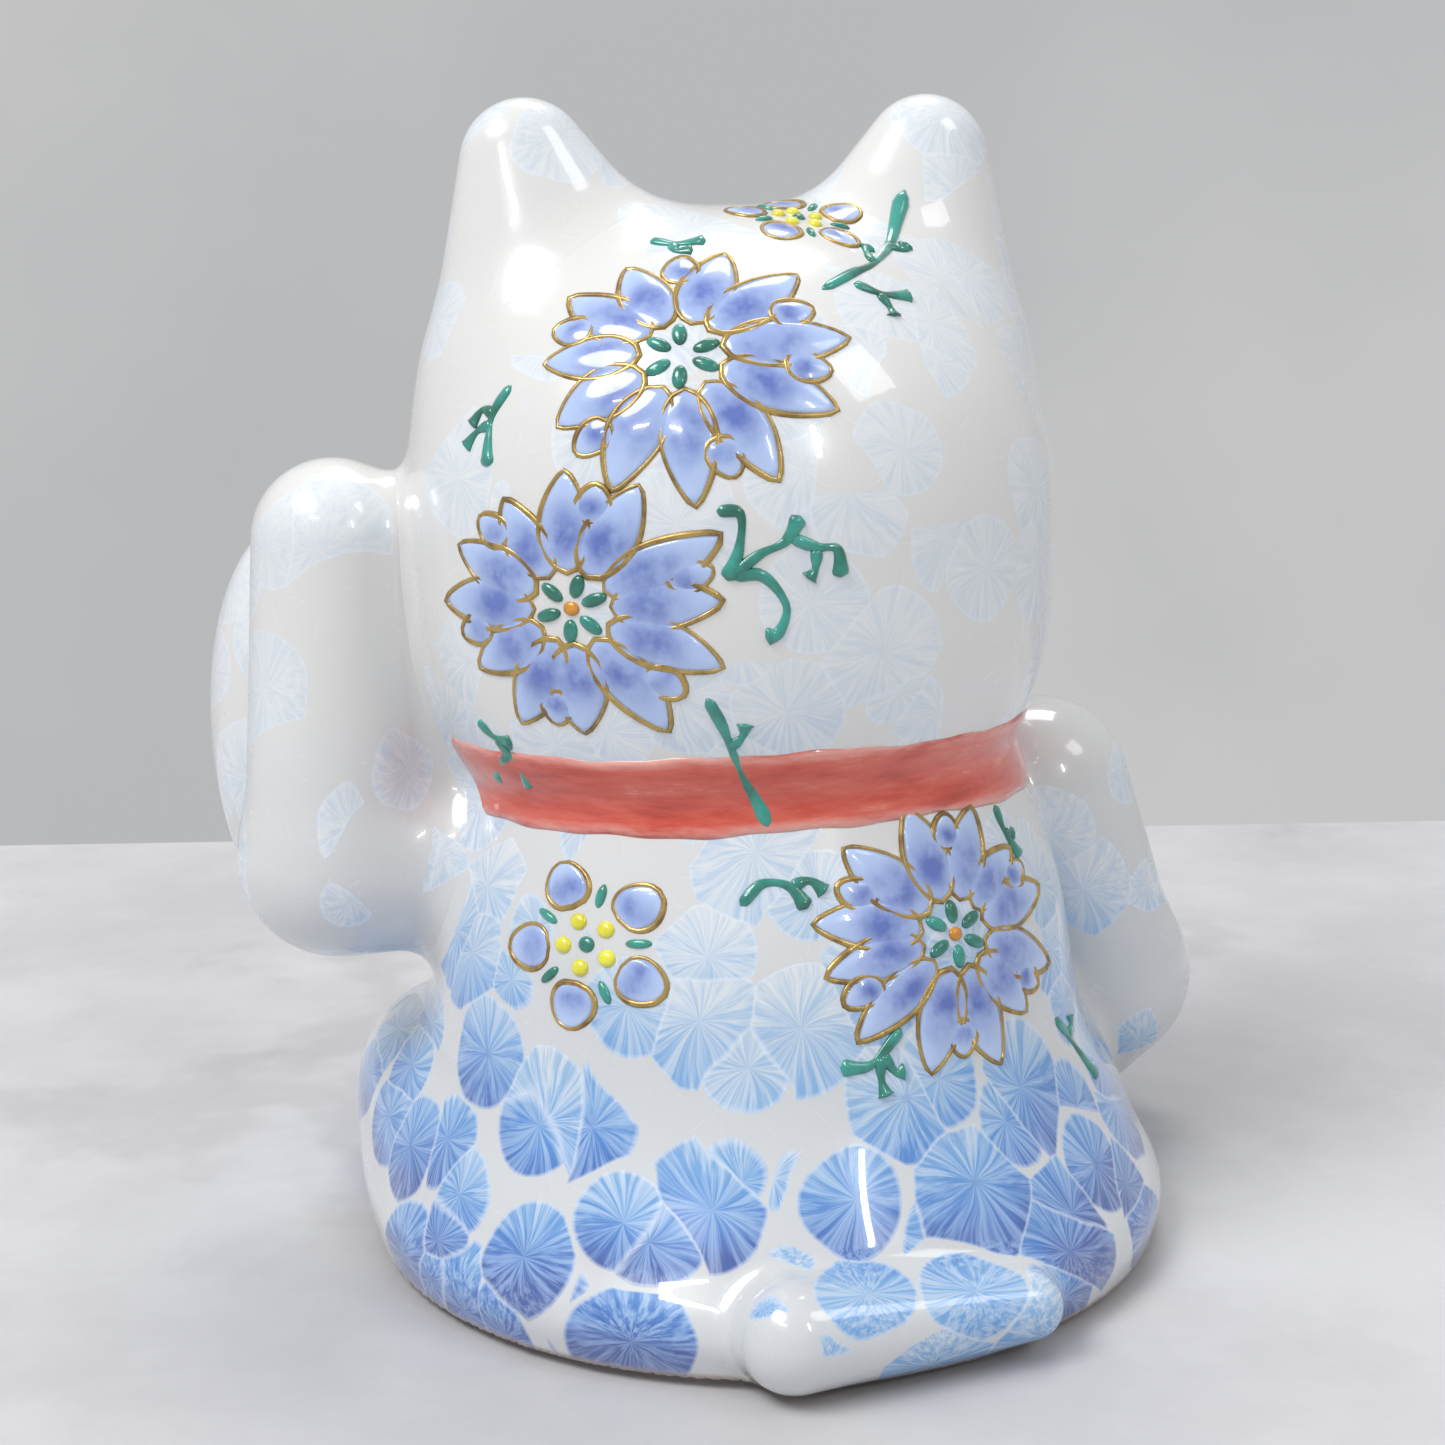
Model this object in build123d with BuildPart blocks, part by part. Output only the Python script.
from build123d import *
import os
from math import asin, cos, pi, radians, sin

# A seated porcelain cat that beckons with its raised left arm, built from hollow castings
# and pressed details that are luted together. Millimetres. +Z is up from the surface it
# stands on, the cat faces -Y, its raised arm is on +X, and the origin is on the surface
# under the middle of the figure.

# ---- foot and floor ----
foot_height = 1.3
foot_inset = 2.6
foot_ring_width = 4.5
floor_thickness = 3.6
vent_radius = 5.0
edge_rounding = 1.2

# ---- seated body: egg-shaped sections from the foot to the neck ----
body_wall = 3.4
base_half_width = 51.5
base_half_depth = 53.0
base_shift = 6.0
haunch_top_height = 13.0
haunch_top_half_width = 48.6
waist_height = 24.0
waist_half_width = 43.5
chest_height = 46.0
chest_half_width = 39.8
neck_height = 61.0
neck_half_width = 34.8

# ---- thighs, pressed out of the body's sides ----
thigh_centre_height = 13.0
thigh_half_length = 30.0
thigh_half_height = 15.0
thigh_half_thickness = 17.0
thigh_spread = 34.0
thigh_forward = 12.0

# ---- head ----
head_wall = 3.2
head_half_width = 41.5
head_half_depth = 39.6
head_centre_height = 91.0
head_half_height_up = 39.5
head_half_height_down = 44.0
head_offset = 1.5
crown_squareness = 2.12
jaw_squareness = 2.6
muzzle_half_width = 12.0
muzzle_half_height = 8.5
muzzle_projection = 3.0

# ---- ears ----
ear_spread = 25.6
ear_lean = 3.8
ear_root_radius = 16.5
ear_tip_radius = 9.3
ear_root_height = 114.0
ear_tip_height = 134.3
ear_flatness = 0.8
ear_dish_height = 131.0
ear_dish_half_width = 7.5
ear_dish_half_height = 11.0
ear_dish_depth = 5.0

# ---- raised arm, its left ----
arm_wall = 3.0
shoulder_height = 48.0
raised_reach = 52.6
raised_setback = 5.0
raised_elbow_height = 50.0
raised_wrist_height = 89.5
raised_upper_radius = 12.6
raised_elbow_radius = 12.0
raised_wrist_radius = 10.0
air_hole_radius = 3.0
air_hole_reach = 40.0

# ---- paw folded forward and down in front of the raised forearm ----
raised_paw_half_width = 11.5
raised_paw_half_depth = 13.0
raised_paw_half_height = 27.0
raised_paw_height = 64.0
raised_paw_forward = 21.0
raised_paw_reach = 55.5

# ---- lowered arm, its right ----
lowered_shoulder = (-45.0, -10.0, 50.5)
lowered_elbow = (-54.8, -12.0, 22.5)
lowered_wrist = (-27.0, -39.5, 31.0)
lowered_shoulder_radius = 12.5
lowered_elbow_radius = 12.0
lowered_wrist_radius = 9.0
lowered_paw_tip = (-15.0, -45.0, 31.0)
lowered_paw_radius = 8.2

# ---- coin held on the belly ----
coin_half_width = 11.5
coin_half_height = 15.5
coin_thickness = 4.5
coin_centre = (-4.0, -42.8, 28.0)
coin_lean = 12.0
coin_edge_rounding = 1.5

# ---- collar and bell ----
collar_width = 8.4
collar_tilt = 4.0
collar_height = 61.2
collar_half_width = 37.4
collar_rounding = 1.0
bell_radius = 6.5
bell_rim_radius = 0.7
bell_slot_width = 1.4
bell_slot_depth = 3.5
bell_drop = 8.0
bell_forward = 6.0
loop_radius = 2.6
loop_wire_radius = 0.9

# ---- tail and hind feet ----
tail_root = (11.0, 59.0, 7.0)
tail_tip = (-16.5, 57.5, 6.4)
tail_root_radius = 6.2
tail_tip_radius = 4.4
hind_foot_half_width = 11.5
hind_foot_half_length = 17.0
hind_foot_half_height = 9.5
hind_foot_spread = 24.0
hind_foot_forward = 49.0
hind_foot_height = 8.0

# ---- what follows from the sizes above ----
body_depth_ratio = base_half_depth / base_half_width
body_sections = [
    (foot_height, base_half_width - edge_rounding, 1.0),
    (foot_height + 5.0, base_half_width, 1.0),
    (haunch_top_height, haunch_top_half_width, 0.8),
    (waist_height, waist_half_width, 0.5),
    (chest_height, chest_half_width, 0.15),
    (neck_height, neck_half_width, 0.0),
]
floor_top = foot_height + floor_thickness
collar_plane = Plane((head_offset / 2, 0, collar_height)).rotated((collar_tilt, 0, 0))
stretch = 300.0


def add_body_form(inset):
    """Loft the seated body's outer form, or its cavity when inset is the wall."""
    sections = []
    for height, half_width, shift in body_sections:
        depth = half_width * (1 + (body_depth_ratio - 1) * shift)
        with BuildSketch(Plane((0, base_shift * shift, height))) as section:
            Ellipse(half_width - inset, depth - inset)
        sections.append(section.sketch)
    loft(sections)


def add_head_form(inset):
    """Revolve a squared egg and flatten it front to back; inset makes its cavity."""
    steps = 16
    points = []
    for step in range(steps + 1):
        angle = pi * step / steps - pi / 2
        up = angle > 0
        power = crown_squareness if up else jaw_squareness
        rise = head_half_height_up if up else head_half_height_down
        radius = (head_half_width - inset) * abs(cos(angle)) ** (2 / power)
        height = (rise - inset) * abs(sin(angle)) ** (2 / power)
        points.append((radius, height if up else -height))
    points[0] = (0, points[0][1])
    points[-1] = (0, points[-1][1])
    with BuildSketch(Plane.XZ) as profile:
        with BuildLine():
            Spline(*points, tangents=[(1, 0), (-1, 0)])
            Line(points[-1], points[0])
        make_face()
    revolve(profile.sketch, axis=Axis.Z)
    scale(by=(1, head_half_depth / head_half_width, 1))


def add_limb(start, end, start_radius, end_radius, mode=Mode.ADD):
    """Revolve a round-ended taper between two points."""
    axis = Vector(*end) - Vector(*start)
    length = axis.length
    lean = asin((start_radius - end_radius) / length)
    low = (start_radius * cos(lean), start_radius * sin(lean))
    high = (end_radius * cos(lean), length + end_radius * sin(lean))
    mid = pi / 4 - lean / 2
    along = Plane(origin=start, z_dir=axis)
    with BuildSketch(Plane(origin=start, x_dir=along.x_dir, z_dir=-along.y_dir)) as profile:
        with BuildLine():
            low_mid = (start_radius * cos(lean / 2 - pi / 4), start_radius * sin(lean / 2 - pi / 4))
            ThreePointArc((0, -start_radius), low_mid, low)
            Line(low, high)
            top_mid = (end_radius * cos(lean + mid), length + end_radius * sin(lean + mid))
            ThreePointArc(high, top_mid, (0, length + end_radius))
            Line((0, length + end_radius), (0, -start_radius))
        make_face()
    revolve(profile.sketch, axis=Axis(start, axis), mode=mode)


def egg(centre, radii):
    """An ellipsoid, scaled from a sphere outside any builder."""
    return Pos(*centre) * scale(Sphere(1, mode=Mode.PRIVATE), by=radii, mode=Mode.PRIVATE)


def cut_below_foot():
    """Trim what would touch the surface: only the foot ring stands on it."""
    with Locations((0, 0, foot_height)):
        Box(stretch, stretch, stretch, align=(Align.CENTER, Align.CENTER, Align.MAX), mode=Mode.SUBTRACT)


# ---- outer forms, used to fit the pieces to each other ----
with BuildPart() as body_form:
    add_body_form(0)
    for side in (1, -1):
        add(egg((side * thigh_spread, -thigh_forward, thigh_centre_height),
                (thigh_half_thickness, thigh_half_length, thigh_half_height)))
    cut_below_foot()

with BuildPart() as head_solid:
    add_head_form(0)
    muzzle_depth = muzzle_projection + muzzle_half_height
    add(egg((0, muzzle_half_height - head_half_depth, -muzzle_half_height),
            (muzzle_half_width, muzzle_depth, muzzle_half_height)))

with BuildPart() as head_form:
    add(Pos(head_offset, 0, head_centre_height) * head_solid.part)
    with Locations((0, 0, neck_height)):
        Box(stretch, stretch, stretch, align=(Align.CENTER, Align.CENTER, Align.MAX), mode=Mode.SUBTRACT)

shoulder = (raised_reach - 2 * raised_upper_radius, -raised_setback, shoulder_height)
elbow = (raised_reach, -raised_setback, raised_elbow_height)
wrist = (raised_reach, -raised_setback, raised_wrist_height)
with BuildPart() as raised_form:
    add_limb(shoulder, elbow, raised_upper_radius, raised_elbow_radius)
    add_limb(elbow, wrist, raised_elbow_radius, raised_wrist_radius)

with BuildPart() as lowered_form:
    add_limb(lowered_shoulder, lowered_elbow, lowered_shoulder_radius, lowered_elbow_radius)
    add_limb(lowered_elbow, lowered_wrist, lowered_elbow_radius, lowered_wrist_radius)

with BuildPart() as collar_form:
    with BuildSketch(collar_plane):
        Ellipse(collar_half_width, collar_half_width * head_half_depth / head_half_width)
    extrude(amount=collar_width / 2, both=True)
    fillet(collar_form.edges(), collar_rounding)

with BuildPart() as cavity:
    add_body_form(body_wall)

with BuildPart() as head_cavity:
    add_head_form(head_wall)

os.makedirs("parts", exist_ok=True)

# ---- hollow castings and the floor ----
with BuildPart() as body_shell:
    add(body_form.part)
    add(cavity.part, mode=Mode.SUBTRACT)
    with Locations(Location(shoulder, (0, 90, 0)), Location(lowered_shoulder, (0, -90, 0))):
        Cylinder(air_hole_radius, air_hole_reach, mode=Mode.SUBTRACT)
body_shell.part.label = "body_shell"
export_step(body_shell.part, "parts/body_shell.step")

with BuildPart() as base_plate:
    add(cavity.part)
    with Locations((0, 0, floor_top)):
        Box(stretch, stretch, stretch, align=(Align.CENTER, Align.CENTER, Align.MIN), mode=Mode.SUBTRACT)
    ring_half_width = base_half_width - edge_rounding - foot_inset
    ring_half_depth = base_half_depth - edge_rounding - foot_inset
    with BuildSketch(Plane((0, base_shift, 0))):
        Ellipse(ring_half_width, ring_half_depth)
        Ellipse(ring_half_width - foot_ring_width, ring_half_depth - foot_ring_width, mode=Mode.SUBTRACT)
    extrude(amount=foot_height)
    with Locations((0, base_shift, 0)):
        Cylinder(vent_radius, stretch, mode=Mode.SUBTRACT)
base_plate.part.label = "base_plate"
export_step(base_plate.part, "parts/base_plate.step")

with BuildPart() as head_shell:
    add(head_form.part)
    add(Pos(head_offset, 0, head_centre_height) * head_cavity.part, mode=Mode.SUBTRACT)
head_shell.part.label = "head_shell"
export_step(head_shell.part, "parts/head_shell.step")

# ---- ears, one each side ----
for side, name in ((1, "left_ear"), (-1, "right_ear")):
    root = (side * (ear_spread - ear_lean), 0, ear_root_height)
    tip = (side * ear_spread, 0, ear_tip_height)
    with BuildPart() as ear:
        add_limb(root, tip, ear_root_radius, ear_tip_radius)
        scale(by=(1, ear_flatness, 1))
        dish_centre = (side * ear_spread, -ear_root_radius * ear_flatness, ear_dish_height)
        add(egg(dish_centre, (ear_dish_half_width, ear_dish_depth, ear_dish_half_height)), mode=Mode.SUBTRACT)
    with BuildPart() as luted_ear:
        add(Pos(head_offset / 2, 0, 0) * ear.part)
        add(head_form.part, mode=Mode.SUBTRACT)
    luted_ear.part.label = name
    export_step(luted_ear.part, f"parts/{name}.step")

# ---- collar, bell and its loop ----
with BuildPart() as collar:
    add(collar_form.part)
    add(body_form.part, mode=Mode.SUBTRACT)
    add(head_form.part, mode=Mode.SUBTRACT)
collar.part.label = "collar"
export_step(collar.part, "parts/collar.step")

throat_y = -collar_half_width * head_half_depth / head_half_width
throat_z = collar_height + throat_y * sin(radians(collar_tilt))
bell_centre = (head_offset / 2, throat_y - bell_forward, throat_z - bell_drop)
with BuildPart() as bell:
    with Locations(bell_centre):
        Sphere(bell_radius)
        Torus(bell_radius, bell_rim_radius)
        with Locations((0, 0, -bell_radius)):
            Box(stretch, bell_slot_width, bell_slot_depth * 2, mode=Mode.SUBTRACT)
    add(body_form.part, mode=Mode.SUBTRACT)
    add(collar_form.part, mode=Mode.SUBTRACT)
bell.part.label = "bell"
export_step(bell.part, "parts/bell.step")

with BuildPart() as bell_loop:
    loop_centre = (head_offset / 2, bell_centre[1], bell_centre[2] + bell_radius)
    with Locations(Location(loop_centre, (0, 90, 0))):
        Torus(loop_radius, loop_wire_radius)
    add(bell.part, mode=Mode.SUBTRACT)
    add(collar_form.part, mode=Mode.SUBTRACT)
    add(body_form.part, mode=Mode.SUBTRACT)
bell_loop.part.label = "bell_loop"
export_step(bell_loop.part, "parts/bell_loop.step")

# ---- raised arm and its folded paw ----
with BuildPart() as raised_arm:
    add(raised_form.part)
    add_limb(shoulder, elbow, raised_upper_radius - arm_wall, raised_elbow_radius - arm_wall, Mode.SUBTRACT)
    add_limb(elbow, wrist, raised_elbow_radius - arm_wall, raised_wrist_radius - arm_wall, Mode.SUBTRACT)
    add(body_form.part, mode=Mode.SUBTRACT)
    add(head_form.part, mode=Mode.SUBTRACT)
    add(collar_form.part, mode=Mode.SUBTRACT)
raised_arm.part.label = "raised_arm"
export_step(raised_arm.part, "parts/raised_arm.step")

with BuildPart() as raised_paw:
    add(egg((raised_paw_reach, -raised_paw_forward, raised_paw_height),
            (raised_paw_half_width, raised_paw_half_depth, raised_paw_half_height)))
    add(raised_form.part, mode=Mode.SUBTRACT)
raised_paw.part.label = "raised_paw"
export_step(raised_paw.part, "parts/raised_paw.step")

# ---- coin on the belly ----
coin_plane = Plane(coin_centre, x_dir=(1, 0, 0), z_dir=(0, -1, 0)).rotated((-coin_lean, 0, 0))
with BuildPart() as coin_form:
    with BuildSketch(coin_plane):
        Ellipse(coin_half_width, coin_half_height)
    extrude(amount=coin_thickness / 2, both=True)
    fillet(coin_form.edges(), coin_edge_rounding)

with BuildPart() as coin:
    add(coin_form.part)
    add(body_form.part, mode=Mode.SUBTRACT)
coin.part.label = "coin"
export_step(coin.part, "parts/coin.step")

# ---- lowered arm and the paw that holds the coin ----
lowered_arm_bore = (
    (lowered_shoulder, lowered_elbow, lowered_shoulder_radius, lowered_elbow_radius),
    (lowered_elbow, lowered_wrist, lowered_elbow_radius, lowered_wrist_radius),
)
with BuildPart() as lowered_arm:
    add(lowered_form.part)
    for start, end, start_radius, end_radius in lowered_arm_bore:
        add_limb(start, end, start_radius - arm_wall, end_radius - arm_wall, Mode.SUBTRACT)
    add(body_form.part, mode=Mode.SUBTRACT)
    add(head_form.part, mode=Mode.SUBTRACT)
    add(collar_form.part, mode=Mode.SUBTRACT)
    add(coin_form.part, mode=Mode.SUBTRACT)
lowered_arm.part.label = "lowered_arm"
export_step(lowered_arm.part, "parts/lowered_arm.step")

with BuildPart() as lowered_paw:
    add_limb(lowered_wrist, lowered_paw_tip, lowered_wrist_radius, lowered_paw_radius)
    add(lowered_form.part, mode=Mode.SUBTRACT)
    add(coin_form.part, mode=Mode.SUBTRACT)
    add(body_form.part, mode=Mode.SUBTRACT)
lowered_paw.part.label = "lowered_paw"
export_step(lowered_paw.part, "parts/lowered_paw.step")

# ---- tail and hind feet ----
with BuildPart() as tail:
    add_limb(tail_root, tail_tip, tail_root_radius, tail_tip_radius)
    add(body_form.part, mode=Mode.SUBTRACT)
    cut_below_foot()
tail.part.label = "tail"
export_step(tail.part, "parts/tail.step")

for side, name in ((1, "left_foot"), (-1, "right_foot")):
    foot_centre = (side * hind_foot_spread, -hind_foot_forward, hind_foot_height)
    with BuildPart() as hind_foot:
        add(egg(foot_centre, (hind_foot_half_width, hind_foot_half_length, hind_foot_half_height)))
        add(body_form.part, mode=Mode.SUBTRACT)
        cut_below_foot()
    hind_foot.part.label = name
    export_step(hind_foot.part, f"parts/{name}.step")
